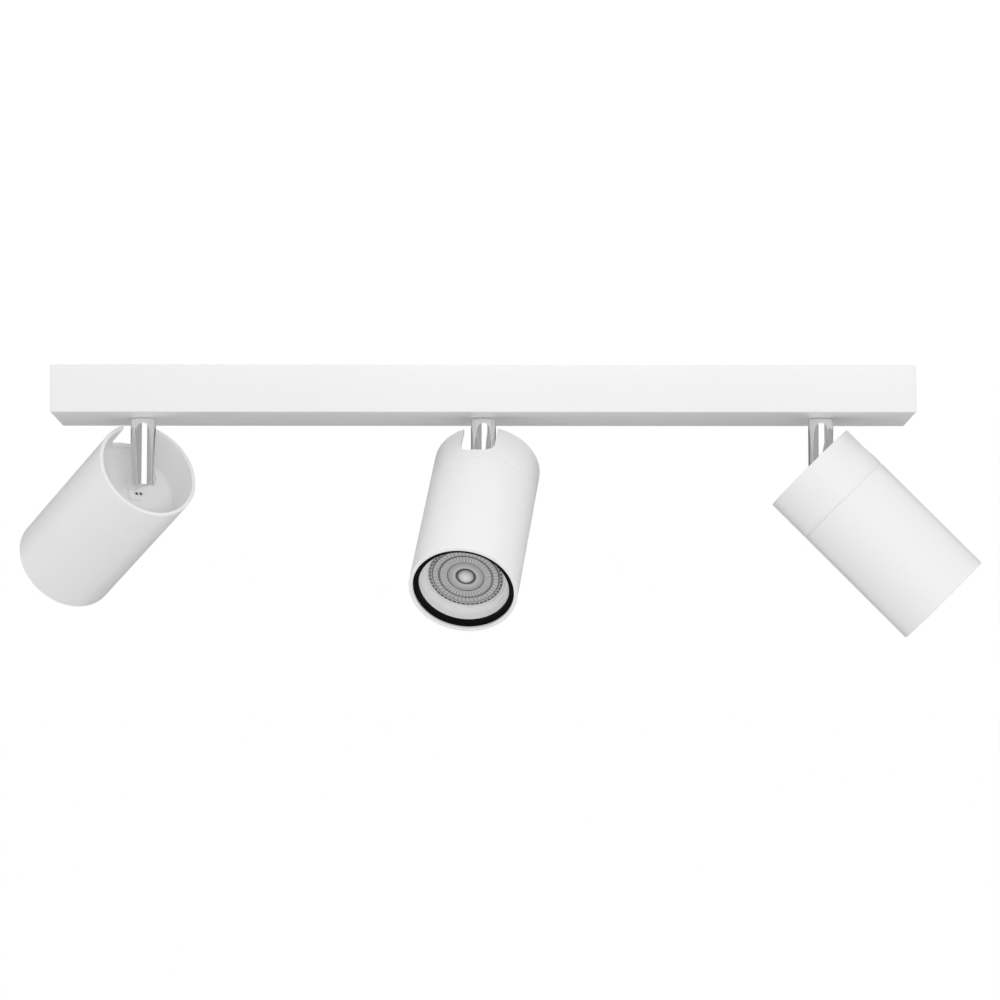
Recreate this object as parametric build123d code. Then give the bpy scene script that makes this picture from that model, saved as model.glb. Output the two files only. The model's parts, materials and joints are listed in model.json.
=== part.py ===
"""Ceiling bar with three adjustable spot heads for GU10 lamps.

The bar is a folded steel channel on a ceiling bracket. Each head hangs from a
turned, chrome-plated stem: the stem turns in the bar (pan), and the head tilts
on a screw that crosses the slotted end of the stem. The back of each head is an
open cup with a notch, so that the stem can lie down in its wall.

Millimetres. The origin is the middle of the ceiling plane, +X runs along the
bar, +Z is up into the ceiling, and the front of the fitting faces -Y.
"""

from build123d import *
import math
import os

# ---------------------------------------------------------------- bar
bar_length = 500.0
bar_width = 66.0
bar_height = 27.5
bar_wall = 1.0
bar_edge_radius = 1.0

# ---------------------------------------------------------------- ceiling bracket
bracket_width = 26.0
bracket_thickness = 1.5
bracket_bend_radius = 1.0
bracket_flange = 14.0
bracket_end_gap = 0.3
ceiling_slot_spacing = 240.0
ceiling_slot_length = 14.0
ceiling_slot_width = 5.0
end_screw_drop = 8.0
end_screw_radius = 2.0
end_screw_head_radius = 3.6
end_screw_head_height = 2.0
end_screw_grip = 3.0
end_screw_hole_clearance = 0.2

# ---------------------------------------------------------------- electrics in the bar
cable_entry_x = 84.0
cable_bore_radius = 4.5
grommet_wall = 2.0
grommet_flange_radius = 9.0
grommet_flange = 2.0
terminal_x = 44.0
terminal_length = 18.0
terminal_height = 13.0
terminal_pole_pitch = 8.0
terminal_entry_radius = 2.5
terminal_base_height = 4.0
terminal_web = 1.0
terminal_corner_radius = 1.0
terminal_tower_inset = 0.6
terminal_screw_head_height = 1.6
clamp_screw_radius = 1.6
clamp_screw_sunk = 0.6
clamp_screw_bite = 0.2
clamp_slot_width = 0.6
clamp_slot_depth = 0.8
earth_screw_x = 16.0
earth_tag_radius = 4.0
earth_tag_thickness = 0.8
small_screw_radius = 1.5
small_screw_head_radius = 2.8
small_screw_head_height = 1.8
lead_radius = 0.9
lead_inset = 3.0
lead_straight = 9.0
lead_gap = 0.3
lead_pair_gap = 6.2
lead_mouth_spread = 3.0
lead_rise_midway = 0.8
lead_dip_at_stem = 0.6
lead_arch_over_stem = 1.6
lead_in_stem = 2.0
earth_lead_straight = 7.0
earth_tail = 4.5
earth_tail_gap = 0.4
earth_crimp = 0.3

# ---------------------------------------------------------------- stem
stem_from_bar_end = 51.0
stem_radius = 7.3
stem_length = 39.3
stem_bore_radius = 3.0
stem_end_chamfer = 0.4
spigot_radius = 5.0
spigot_length = 11.5
bush_wall = 1.0
bush_flange_radius = 12.6
bush_flange = 1.5
washer_radius = 8.5
washer_thickness = 1.0
stop_tab_reach = 12.4
stop_tab_width = 1.6
stop_lug_width = 1.4
stop_lug_depth = 2.6
stop_lug_inset = 0.2
stop_lug_above_washer = 0.6
nut_across_flats = 14.0
nut_thickness = 5.0
nut_chamfer_height = 1.0

# ---------------------------------------------------------------- tilt joint
pivot_above_stem_end = 4.8
pivot_screw_radius = 1.5
pivot_head_radius = 2.7
pivot_head_height = 2.6
pivot_head_proud = 0.4
pivot_far_wall = 2.2
tongue_thickness = 3.0
eye_radius = 5.0
foot_thickness = 2.2
foot_side = 7.4
foot_corner_radius = 1.8
foot_front = 7.0
foot_back = 6.0
arm_back_at_foot = 0.5
foot_fillet = 0.8
foot_screw_radius = 0.8
foot_screw_head_radius = 1.3
foot_screw_socket_depth = 0.9
foot_screw_back = 2.1
foot_screw_sides = (2.9, 5.7)
foot_screw_short = 0.2

# ---------------------------------------------------------------- head
head_radius = 31.0
head_length = 109.8
head_offset = 1.1
head_wall = 2.2
head_rim_radius = 0.5
pivot_inside_rim = 9.2
cup_depth = 26.0
cup_floor = 1.6
cup_floor_fillet = 2.0
seam_gap = 0.3
joining_spigot_length = 5.0
joining_spigot_wall = 2.0
notch_width = 20.0
notch_depth = 21.4
notch_corner_radius = 6.5

# ---------------------------------------------------------------- lamp and its holder
holder_radius = 13.0
holder_height = 23.3
holder_screw_radius = 1.5
holder_screw_side = 9.0
holder_head_sink = 3.0
holder_edge_radius = 1.0
holder_waist_depth = 1.5
holder_screw_bite = 1.0
holder_face_plate = 3.8
holder_twist = 32.0
lamp_pin_spacing = 10.0
lamp_pin_radius = 2.5
lamp_pin_neck_radius = 1.6
lamp_pin_length = 7.2
lamp_pin_head_height = 3.2
lamp_pin_end_gap = 1.0
lamp_radius = 25.0
lamp_length = 48.0
lamp_base_radius = 11.5
lamp_bezel_depth = 7.0
lamp_bezel_step = 0.6
lens_radius = 22.6
lens_recess = 1.0
lens_thickness = 2.3
lens_dome_radius = 6.0
lens_dome_height = 1.4
lens_groove_depth = 0.4
lens_groove_width = 0.5
lens_ring_height = 0.45
lens_plain_edge = 2.0
lens_ring_widths = (5.3, 5.0)
collar_wall = 2.9
collar_length = 12.1
glare_ring_recess = 1.7
glare_ring_depth = 3.0
glare_ring_lip = 0.4
glare_ring_slope = 0.6
glare_ring_grooves = 2
glare_groove_size = 0.3

# ---------------------------------------------------------------- fits
running_clearance = 0.05
seat_clearance = 0.1
face_clearance = 0.1
joint_clearance = 0.3

# ---------------------------------------------------------------- pose of each head
# place is the stem's place along the bar in head pitches, aim the compass direction of
# the head about +Z, tilt its lift from straight down.
heads = {
    "left": {"place": -1, "aim": 124.5, "tilt": 64.8},
    "middle": {"place": 0, "aim": -100.2, "tilt": 44.8},
    "right": {"place": 0.992, "aim": -0.5, "tilt": 44.7},
}

# ---------------------------------------------------------------- places worked out
head_pitch = bar_length / 2 - stem_from_bar_end
bar_floor_z = -bar_height + bar_wall
stem_top_z = -bar_height - face_clearance
stem_end_z = -bar_height - stem_length
pivot_z = stem_end_z + pivot_above_stem_end
bush_top_z = bar_floor_z + bush_flange
washer_z = bush_top_z + face_clearance
nut_z = washer_z + washer_thickness
spigot_top_z = bar_floor_z + spigot_length
terminal_top_z = -bracket_thickness
terminal_middle_z = terminal_top_z - terminal_base_height - terminal_entry_radius - terminal_web
terminal_screw_z = terminal_top_z - terminal_height
pivot_seat = stem_radius + pivot_head_proud - pivot_head_height
pivot_screw_tip = stem_radius - pivot_far_wall
slot_radius = eye_radius + joint_clearance
slot_width = tongue_thickness + 2 * face_clearance

# Along a head, "depth" is the distance from its back rim towards the lamp.
seam_depth = cup_depth + cup_floor
head_bore_radius = head_radius - head_wall
lining_radius = head_bore_radius - seat_clearance
collar_inner_radius = lining_radius - collar_wall
lamp_face_depth = seam_depth + holder_height + face_clearance + lamp_length
ring_back_depth = head_length - glare_ring_recess - glare_ring_depth
lens_seat_radius = lens_radius + running_clearance

parts = {}


# ---------------------------------------------------------------- shared tools
def column(radius, low, high):
    """A round bar about Z between two heights."""
    return Pos(0, 0, low) * Cylinder(radius, high - low, align=(Align.CENTER, Align.CENTER, Align.MIN))


def tube(outer, inner, low, high):
    """A round tube about Z between two heights."""
    return column(outer, low, high) - column(inner, low - 1, high + 1)


def block(x, y, z):
    """A box given by its low and high value on each axis."""
    size = [high - low for low, high in (x, y, z)]
    middle = [(low + high) / 2 for low, high in (x, y, z)]
    return Pos(*middle) * Box(*size)


def turned(*points):
    """A ring or disc turned about Z from (radius, height) points."""
    outline = Polyline(*[(radius, 0, height) for radius, height in points], close=True)
    return revolve(make_face(outline), Axis.Z)


def turned_face(face):
    """The same from a face drawn as (radius, height) on the XZ plane."""
    return revolve(Plane.XZ * face, Axis.Z)


def screw(shank_radius, shank_length, head_radius, head_height):
    """A round-headed screw with a cross recess: head above z = 0, shank below."""
    crown = head_height * 0.45
    head = column(head_radius, 0, head_height)
    head = fillet(head.edges().sort_by(Axis.Z)[-1], crown)
    arm_length, arm_width = head_radius * 1.1, head_radius * 0.28
    recess_z = (head_height * 0.4, head_height + 1)
    cross = block((-arm_length / 2, arm_length / 2), (-arm_width / 2, arm_width / 2), recess_z)
    cross += block((-arm_width / 2, arm_width / 2), (-arm_length / 2, arm_length / 2), recess_z)
    return head - cross + column(shank_radius, -shank_length, 0)


def countersunk(shank_radius, length, head_radius):
    """A countersunk screw, or the hole for one: its flat top at z = 0, the shank below."""
    return turned(
        (0, 0),
        (head_radius, 0),
        (shank_radius, shank_radius - head_radius),
        (shank_radius, -length),
        (0, -length),
    )


def head_height(depth):
    """Height, in a head's own frame, of a place at a depth from its back rim."""
    return pivot_inside_rim - depth


def on_stem(shape, head):
    """Puts what was drawn about the stem axis, aiming along +X, at its place on the bar."""
    return Pos(head["place"] * head_pitch, 0, 0) * Rot(0, 0, head["aim"]) * shape


def on_pivot(shape, head):
    """Puts what was drawn about the pivot, hanging straight down, at its place and pose."""
    swing = Rot(0, 0, head["aim"]) * Rot(0, -head["tilt"], 0)
    return Pos(head["place"] * head_pitch, 0, pivot_z) * swing * shape


def on_head(shape, head):
    """The same for what was drawn about the head's axis, which passes beside the pivot."""
    return on_pivot(Pos(0, head_offset, 0) * shape, head)


# ---------------------------------------------------------------- the bar
def bar_housing():
    """Folded channel, closed at both ends and open towards the ceiling."""
    half_length, half_width = bar_length / 2, bar_width / 2
    shell = block((-half_length, half_length), (-half_width, half_width), (-bar_height, 0))
    ceiling_edges = shell.edges().group_by(Axis.Z)[-1]
    outside_edges = [edge for edge in shell.edges() if edge not in ceiling_edges]
    shell = fillet(outside_edges, bar_edge_radius)
    shell -= block(
        (-half_length + bar_wall, half_length - bar_wall),
        (-half_width + bar_wall, half_width - bar_wall),
        (bar_floor_z, 1),
    )
    hole_radius = spigot_radius + running_clearance + bush_wall + running_clearance
    for head in heads.values():
        hole = column(hole_radius, -bar_height - 1, bar_floor_z + 1)
        shell -= Pos(head["place"] * head_pitch, 0, 0) * hole
    for side in (-1, 1):
        hole = column(end_screw_radius + end_screw_hole_clearance, -2 * bar_wall, bar_wall)
        shell -= at_bar_end(hole, side)
    return shell


def at_bar_end(shape, side):
    """Turns a piece drawn about Z so that +Z points out of one short end of the bar."""
    return Pos(side * bar_length / 2, 0, -end_screw_drop) * Rot(0, side * 90, 0) * shape


def mounting_bracket():
    """Steel strip on the ceiling, with a turned-down flange at each end for the bar's screws."""
    half_length = bar_length / 2 - bar_wall - bracket_end_gap
    half_width = bracket_width / 2
    inside = half_length - bracket_thickness
    past_side = half_width + 1
    strip = block((-half_length, half_length), (-half_width, half_width), (-bracket_flange, 0))
    top_ends = strip.edges().filter_by(Axis.Y).group_by(Axis.Z)[-1]
    strip = fillet(top_ends, bracket_bend_radius + bracket_thickness)
    hollow = block((-inside, inside), (-past_side, past_side), (-bracket_flange - 1, -bracket_thickness))
    hollow_ends = hollow.edges().filter_by(Axis.Y).group_by(Axis.Z)[-1]
    strip -= fillet(hollow_ends, bracket_bend_radius)
    slot = extrude(SlotOverall(ceiling_slot_length, ceiling_slot_width), bracket_thickness * 2, both=True)
    for side in (-1, 1):
        strip -= Pos(side * ceiling_slot_spacing / 2, 0, 0) * slot
        strip -= at_bar_end(column(end_screw_radius + running_clearance, -bar_wall * 10, 0), side)
    grommet_hole_radius = cable_bore_radius + grommet_wall + running_clearance
    strip -= Pos(cable_entry_x, 0, 0) * column(grommet_hole_radius, -bracket_thickness - 1, 1)
    screw_hole = column(small_screw_radius + running_clearance, -bracket_thickness - 1, 1)
    strip -= Pos(earth_screw_x, 0, 0) * screw_hole
    for side in (-1, 1):
        strip -= Pos(terminal_x, side * terminal_pole_pitch / 2, 0) * screw_hole
    return strip


def end_screws():
    """The two screws that hold the bar's short ends to the bracket."""
    shank = bar_wall + bracket_end_gap + bracket_thickness + end_screw_grip
    one = screw(end_screw_radius, shank, end_screw_head_radius, end_screw_head_height)
    return [at_bar_end(one, side) for side in (-1, 1)]


def cable_grommet():
    """Bush that lines the bracket's hole where the supply cable comes through the ceiling."""
    outer = cable_bore_radius + grommet_wall
    under_plate = -bracket_thickness - face_clearance / 2
    lining = turned(
        (cable_bore_radius, 0),
        (outer, 0),
        (outer, under_plate),
        (grommet_flange_radius, under_plate),
        (grommet_flange_radius, under_plate - grommet_flange),
        (cable_bore_radius, under_plate - grommet_flange),
    )
    return Pos(cable_entry_x, 0, 0) * lining


def terminal_block():
    """Three-pole block under the bracket, with a screw tower and a wire way for each pole."""
    half_width = terminal_pole_pitch * 1.5
    half_length = terminal_length / 2
    body_low = terminal_middle_z - terminal_entry_radius - terminal_web
    body = block((-half_length, half_length), (-half_width, half_width), (body_low, terminal_top_z))
    body = fillet(body.edges().filter_by(Axis.Z), terminal_corner_radius)
    tower_radius = terminal_pole_pitch / 2 - terminal_tower_inset
    screw_way = column(clamp_screw_radius + running_clearance, terminal_screw_z - 1, terminal_middle_z)
    for pole in (-1, 0, 1):
        for end in (-1, 1):
            place = Pos(end * terminal_length / 4, pole * terminal_pole_pitch, 0)
            body += place * column(tower_radius, terminal_screw_z, body_low + 1)
            body -= place * screw_way
        way = Rot(0, 90, 0) * column(terminal_entry_radius, -half_length - 1, half_length + 1)
        body -= Pos(0, pole * terminal_pole_pitch, terminal_middle_z) * way
    for side in (-1, 1):
        hole = column(small_screw_radius + running_clearance, terminal_screw_z - 1, terminal_top_z + 1)
        seat_top = terminal_top_z - terminal_base_height
        hole += column(small_screw_head_radius + face_clearance, terminal_screw_z - 1, seat_top)
        body -= Pos(0, side * terminal_pole_pitch / 2, 0) * hole
    return Pos(terminal_x, 0, 0) * body


def clamp_screws():
    """The six slotted grub screws that clamp the wires."""
    low = terminal_screw_z + clamp_screw_sunk
    high = terminal_middle_z - terminal_entry_radius + clamp_screw_bite
    half_slot, across = clamp_slot_width / 2, clamp_screw_radius + 1
    one = column(clamp_screw_radius, low, high)
    one -= block((-half_slot, half_slot), (-across, across), (low - 1, low + clamp_slot_depth))
    screws = []
    for pole in (-1, 0, 1):
        for end in (-1, 1):
            place = Pos(terminal_x + end * terminal_length / 4, pole * terminal_pole_pitch, 0)
            screws.append(place * one)
    return screws


def terminal_screws():
    """The two screws that hold the terminal block to the bracket."""
    seat = terminal_top_z - terminal_base_height
    shank = terminal_base_height + bracket_thickness
    one = screw(small_screw_radius, shank, small_screw_head_radius, terminal_screw_head_height)
    one = Pos(0, 0, seat) * Rot(180, 0, 0) * one
    return [Pos(terminal_x, side * terminal_pole_pitch / 2, 0) * one for side in (-1, 1)]


def earth_screw():
    """The screw that bonds the bracket to the earth lead."""
    shank = bracket_thickness + earth_tag_thickness
    one = screw(small_screw_radius, shank, small_screw_head_radius, small_screw_head_height)
    return Pos(earth_screw_x, 0, -shank) * Rot(180, 0, 0) * one


def wire(*points):
    """An insulated lead: straight runs joined by arcs as large as the runs allow."""
    corners = [Vector(*point) for point in points]
    radii = []
    for before, here, after in zip(corners, corners[1:], corners[2:]):
        turn = math.radians((here - before).get_angle(after - here))
        shorter = min((here - before).length, (after - here).length)
        radii.append(0.45 * shorter / math.tan(turn / 2))
    path = FilletPolyline(*corners, radius=radii)
    start = Plane(origin=path @ 0, z_dir=path % 0)
    return sweep(start * Circle(lead_radius), path=path)


def stem_leads(head, rise, leaves):
    """Live and neutral leads of one head, from the terminal block into the mouth of its stem."""
    stem_x = head["place"] * head_pitch
    block_x = terminal_x + leaves * (terminal_length / 2 - lead_inset)
    straight = leaves * lead_straight
    midway_x = block_x + (stem_x - block_x) * 0.45
    lead_z = terminal_middle_z + rise
    leads = []
    for side in (-1, 1):
        pole_y = side * terminal_pole_pitch
        mouth_y = side * (lead_radius + lead_gap)
        leads.append(
            wire(
                (block_x, pole_y, lead_z),
                (block_x + straight, pole_y, lead_z),
                (midway_x, side * lead_pair_gap, lead_z + lead_rise_midway),
                (stem_x - straight, side * lead_mouth_spread, lead_z - lead_dip_at_stem),
                (stem_x, mouth_y, lead_z - lead_arch_over_stem),
                (stem_x, mouth_y, spigot_top_z - lead_in_stem),
            )
        )
    return leads


def earth_lead():
    """Earth lead from the middle pole to a ring tag under the earth screw."""
    tag_high = -bracket_thickness
    tag_low = tag_high - earth_tag_thickness
    tag = tube(earth_tag_radius, small_screw_radius + running_clearance, tag_low, tag_high)
    start_x = terminal_x - terminal_length / 2 + lead_inset
    barrel_z = tag_low - lead_radius + earth_crimp
    tail_x = earth_screw_x + small_screw_head_radius + earth_tail_gap
    lead = wire(
        (start_x, 0, terminal_middle_z),
        (start_x - earth_lead_straight, 0, terminal_middle_z),
        (tail_x + earth_tail, 0, barrel_z),
        (tail_x, 0, barrel_z),
    )
    return Pos(earth_screw_x, 0, 0) * tag + lead


# ---------------------------------------------------------------- what carries a stem in the bar
def stem_bush(head):
    """Flanged nylon bush in the bar's hole, with the lug that stops the stem's turn."""
    inner = spigot_radius + running_clearance
    outer = inner + bush_wall
    bush = tube(outer, inner, -bar_height, bar_floor_z)
    bush += tube(bush_flange_radius, inner, bar_floor_z, bush_top_z)
    half = stop_lug_width / 2
    lug_y = (bush_flange_radius - stop_lug_depth, bush_flange_radius - stop_lug_inset)
    lug = block((-half, half), lug_y, (bush_top_z, nut_z + stop_lug_above_washer))
    return Pos(head["place"] * head_pitch, 0, 0) * (bush + lug)


def stem_washer():
    """Steel washer keyed to the stem. Its tab meets the bush's lug at each end of the turn."""
    half = stop_tab_width / 2
    washer = column(washer_radius, washer_z, nut_z)
    washer += block((spigot_radius + 1, stop_tab_reach), (-half, half), (washer_z, nut_z))
    return washer - column(spigot_radius + running_clearance, washer_z - 1, nut_z + 1)


def stem_nut():
    """Hexagon nut that holds the stem up in the bar."""
    nut = extrude(RegularPolygon(nut_across_flats / 2, 6, major_radius=False), nut_thickness)
    corner_radius = nut_across_flats / math.sqrt(3)
    chamfered_radius = nut_across_flats * 0.54
    crown = turned(
        (0, 0),
        (chamfered_radius, 0),
        (corner_radius, nut_chamfer_height),
        (corner_radius, nut_thickness - nut_chamfer_height),
        (chamfered_radius, nut_thickness),
        (0, nut_thickness),
    )
    nut = (nut & crown) - column(spigot_radius + running_clearance, -1, nut_thickness + 1)
    return Pos(0, 0, nut_z) * nut


def stem():
    """Turned stem: a spigot through the bar, a round column, and a slotted end for the tongue."""
    body = column(stem_radius, stem_end_z, stem_top_z)
    body = chamfer(body.edges().filter_by(GeomType.CIRCLE), stem_end_chamfer)
    body += column(spigot_radius, stem_top_z, spigot_top_z)
    body -= column(stem_bore_radius, pivot_z, spigot_top_z + 1)
    half = slot_width / 2
    reach = stem_radius + 1
    below = (stem_end_z - 1, pivot_z)
    body -= block((-slot_radius, reach), (-half, half), below)
    body -= block((0, reach), (-half, half), (pivot_z, pivot_z + slot_radius))
    body -= Pos(0, 0, pivot_z) * Rot(90, 0, 0) * column(slot_radius, -half, half)
    across = Pos(0, 0, pivot_z) * Rot(90, 0, 0)
    body -= across * column(
        pivot_screw_radius + running_clearance, -pivot_screw_tip - joint_clearance, stem_radius
    )
    body -= across * column(pivot_head_radius + face_clearance, pivot_seat, stem_radius + 1)
    return body


def pivot_screw():
    """The screw that the head tilts on. Its head sits in a recess in the stem."""
    one = screw(pivot_screw_radius, pivot_seat + pivot_screw_tip, pivot_head_radius, pivot_head_height)
    return Pos(0, -pivot_seat, pivot_z) * Rot(90, 0, 0) * one


# ---------------------------------------------------------------- the head's bracket and shells
def swivel_bracket():
    """Cast tongue that tilts in the stem's slot, with a foot to one side on the floor of the cup."""
    floor_z = head_height(cup_depth)
    foot_z = floor_z + foot_thickness
    half = tongue_thickness / 2
    arm = Polyline(
        (-eye_radius, 0),
        (-arm_back_at_foot, foot_z),
        (-arm_back_at_foot, floor_z),
        (eye_radius, floor_z),
        (eye_radius, 0),
        close=True,
    )
    tongue = extrude(Plane.XZ * make_face(arm), half, both=True)
    tongue += Rot(90, 0, 0) * column(eye_radius, -half, half)
    foot = block((-foot_back, foot_front), (-foot_side, half), (floor_z, foot_z))
    foot = fillet(foot.edges().filter_by(Axis.Z), foot_corner_radius)
    bracket = foot + tongue
    along = bracket.edges().filter_by(Axis.X)
    foot_top_edges = along.filter_by_position(Axis.Z, foot_z - 0.01, foot_z + 0.01)
    tongue_root = foot_top_edges.filter_by_position(Axis.Y, -half - 0.01, -half + 0.01)
    bracket = fillet(tongue_root, foot_fillet)
    bracket -= Rot(90, 0, 0) * column(pivot_screw_radius + running_clearance, -half - 1, half + 1)
    hole_radius = foot_screw_radius + running_clearance
    hole = countersunk(hole_radius, foot_thickness + 1, foot_screw_head_radius)
    for place in foot_screw_places(foot_z):
        bracket -= place * hole
    return bracket


def foot_screw_places(height):
    """Where the foot's two screws are, at a height in the pivot's frame."""
    return [Pos(-foot_screw_back, -side, height) for side in foot_screw_sides]


def foot_screws():
    """The two countersunk socket screws that hold the bracket's foot to the cup."""
    foot_z = head_height(cup_depth) + foot_thickness
    length = foot_thickness + cup_floor - foot_screw_short
    one = countersunk(foot_screw_radius, length, foot_screw_head_radius)
    one -= extrude(RegularPolygon(foot_screw_radius * 0.9, 6), -foot_screw_socket_depth)
    return [place * one for place in foot_screw_places(foot_z)]


def rear_cup():
    """Drawn cup, open at the back, with a notch for the stem and a spigot for the front tube."""
    rim, floor = head_height(0), head_height(cup_depth)
    seam = head_height(seam_depth)
    cup = column(head_radius, seam + seam_gap / 2, rim)
    hollow = column(head_bore_radius, floor, rim + 1)
    cup -= fillet(hollow.edges().sort_by(Axis.Z)[0], cup_floor_fillet)
    cup = fillet(cup.edges().group_by(Axis.Z)[-1], head_rim_radius)
    cup += tube(lining_radius, lining_radius - joining_spigot_wall, seam - joining_spigot_length, seam)
    cup += column(lining_radius, seam, seam + seam_gap)
    cup -= stem_notch()
    foot_hole = column(foot_screw_radius + running_clearance, -cup_floor - 1, 1)
    for place in foot_screw_places(floor):
        cup -= Pos(0, -head_offset, 0) * place * foot_hole
    holder_hole_top = seam + holder_screw_bite + joint_clearance
    holder_hole = column(holder_screw_radius + running_clearance, seam - 1, holder_hole_top)
    for side in (-1, 1):
        cup -= Pos(side * holder_screw_side, 0, 0) * holder_hole
    return cup


def stem_notch():
    """The U-shaped cut in the cup's wall, on the side that the stem leans to."""
    rim = head_height(0)
    half = notch_width / 2
    cut = block((0, head_radius + 1), (-half, half), (rim - notch_depth, rim + 1))
    return fillet(cut.edges().filter_by(Axis.X).group_by(Axis.Z)[0], notch_corner_radius)


def front_tube():
    """Round tube in front of the seam, which holds the lamp's collar and the glare ring."""
    low, high = head_height(head_length), head_height(seam_depth) - seam_gap / 2
    sleeve = tube(head_radius, head_bore_radius, low, high)
    return fillet(sleeve.edges().group_by(Axis.Z)[0], head_rim_radius)


# ---------------------------------------------------------------- the lamp and what holds it
def twist_way(radius, low, high):
    """Room for a pin of this radius that goes in at one place and twists to another about Z."""
    place = Pos(0, lamp_pin_spacing / 2, 0)
    pin = column(radius, low, high)
    half = lamp_pin_spacing / 2
    middle_z = (low + high) / 2
    section = Plane.YZ * Pos(half, middle_z) * Rectangle(2 * radius, high - low)
    swept = revolve(section, Axis.Z, revolution_arc=holder_twist)
    return swept + place * pin + Rot(0, 0, holder_twist) * place * pin


def lampholder():
    """Ceramic GU10 holder: two ways that the lamp's headed pins twist into, and two fixing holes."""
    base = head_height(seam_depth)
    face = base - holder_height
    body = column(holder_radius, face, base)
    body = fillet(body.edges().filter_by(GeomType.CIRCLE), holder_edge_radius)
    waist_inner = holder_radius - holder_waist_depth
    body -= tube(holder_radius + 1, waist_inner, base - holder_height * 0.62, base - holder_height * 0.3)
    head_room = lamp_pin_radius + seat_clearance
    way_end = face + lamp_pin_length + lamp_pin_end_gap
    way = twist_way(lamp_pin_neck_radius + seat_clearance, face - 1, way_end)
    way += twist_way(head_room, face + holder_face_plate, way_end)
    entry = column(head_room, face - 1, way_end)
    way += Rot(0, 0, holder_twist) * Pos(0, lamp_pin_spacing / 2, 0) * entry
    fixing = column(holder_screw_radius + running_clearance, face - 1, base + 1)
    fixing += column(small_screw_head_radius + face_clearance, face - 1, face + holder_head_sink)
    for half_turn in (0, 180):
        body -= Rot(0, 0, half_turn) * way
        body -= Rot(0, 0, half_turn) * Pos(holder_screw_side, 0, 0) * fixing
    return body


def holder_screws():
    """The two screws that hold the lampholder to the floor of the cup."""
    face = head_height(seam_depth) - holder_height
    seat = face + holder_head_sink
    length = holder_height - holder_head_sink + holder_screw_bite
    one = screw(holder_screw_radius, length, small_screw_head_radius, small_screw_head_height)
    one = Pos(0, 0, seat) * Rot(180, 0, 0) * one
    return [Pos(side * holder_screw_side, 0, 0) * one for side in (-1, 1)]


def lamp_body():
    """Reflector lamp with a straight base, a flaring back and a flat bezel around its lens."""
    front = head_height(lamp_face_depth)
    base = front + lamp_length
    bezel = front + lamp_bezel_depth
    seat = front + lens_recess + lens_thickness
    neck_end = base - lamp_length * 0.2
    shoulder = (lamp_radius - lamp_bezel_step, bezel + lamp_bezel_step)
    belly_radius = lamp_base_radius + (lamp_radius - lamp_base_radius) * 0.55
    outline = Curve() + [
        Polyline((0, base), (lamp_base_radius, base), (lamp_base_radius, neck_end)),
        Spline((lamp_base_radius, neck_end), (belly_radius, neck_end * 0.55 + bezel * 0.45), shoulder),
        Polyline(
            shoulder,
            (lamp_radius, bezel),
            (lamp_radius, front),
            (lens_seat_radius, front),
            (lens_seat_radius, seat),
            (0, seat),
            (0, base),
        ),
    ]
    return turned_face(make_face(outline))


def lamp_pins():
    """The lamp's two headed pins."""
    base = head_height(lamp_face_depth) + lamp_length
    tip = base + lamp_pin_length
    pin = column(lamp_pin_neck_radius, base, tip) + column(lamp_pin_radius, tip - lamp_pin_head_height, tip)
    return [Pos(0, side * lamp_pin_spacing / 2, 0) * pin for side in (-1, 1)]


def lamp_lens():
    """Moulded lens: a central dome inside a groove, then raised rings out to a plain edge."""
    back = head_height(lamp_face_depth) + lens_recess + lens_thickness
    front = back - lens_thickness
    groove = front + lens_groove_depth
    groove_outer = lens_dome_radius + lens_groove_width
    dome_top = front - lens_dome_height
    crest = front - lens_ring_height
    rings = []
    outer = lens_radius - lens_plain_edge
    for width in lens_ring_widths:
        inner = outer - width
        foot_radii, crest_radii = (inner + 0.2, outer - 0.2), (inner + 0.7, outer - 0.7)
        ring = [(foot_radii[0], front), *[(radius, crest) for radius in crest_radii], (foot_radii[1], front)]
        rings = ring + rings
        outer = inner
    outline = Curve() + [
        Line((0, back), (0, dome_top)),
        ThreePointArc(
            (0, dome_top),
            (lens_dome_radius * 0.55, front - lens_dome_height * 0.70),
            (lens_dome_radius, groove),
        ),
        Polyline(
            (lens_dome_radius, groove),
            (groove_outer, groove),
            (groove_outer + lens_groove_depth, front),
            *rings,
            (lens_radius, front),
            (lens_radius, back),
            (0, back),
        ),
    ]
    return turned_face(make_face(outline))


def lamp_collar():
    """White sleeve in the mouth of the tube. The lamp's bezel seats in its stepped back."""
    back, front = head_height(ring_back_depth - collar_length), head_height(ring_back_depth)
    step = head_height(lamp_face_depth)
    seat_radius = lamp_radius + joint_clearance
    return turned(
        (seat_radius, back),
        (lining_radius, back),
        (lining_radius, front),
        (collar_inner_radius, front),
        (collar_inner_radius, step),
        (seat_radius, step),
    )


def glare_ring():
    """Black ring just inside the front rim: a shallow cone with fine grooves, and a straight bore."""
    back = head_height(ring_back_depth)
    front = back - glare_ring_depth
    cone_outer = lining_radius - glare_ring_lip
    ring = turned(
        (collar_inner_radius, back),
        (lining_radius, back),
        (lining_radius, front),
        (cone_outer, front),
        (collar_inner_radius, front + glare_ring_slope),
    )
    half = glare_groove_size / 2
    for groove in range(1, glare_ring_grooves + 1):
        share = groove / (glare_ring_grooves + 1)
        radius = cone_outer + (collar_inner_radius - cone_outer) * share
        bottom = front + glare_ring_slope * share + glare_groove_size
        ring -= tube(radius + half, radius - half, front - 1, bottom)
    return ring


# ---------------------------------------------------------------- putting it together
def keep(name, shape):
    """Files a piece under its name, as one solid or a group of separate solids."""
    solids = []
    for piece in shape if isinstance(shape, list) else [shape]:
        solids.extend(piece.solids())
    parts[name] = solids[0] if len(solids) == 1 else Compound(children=solids)


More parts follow.
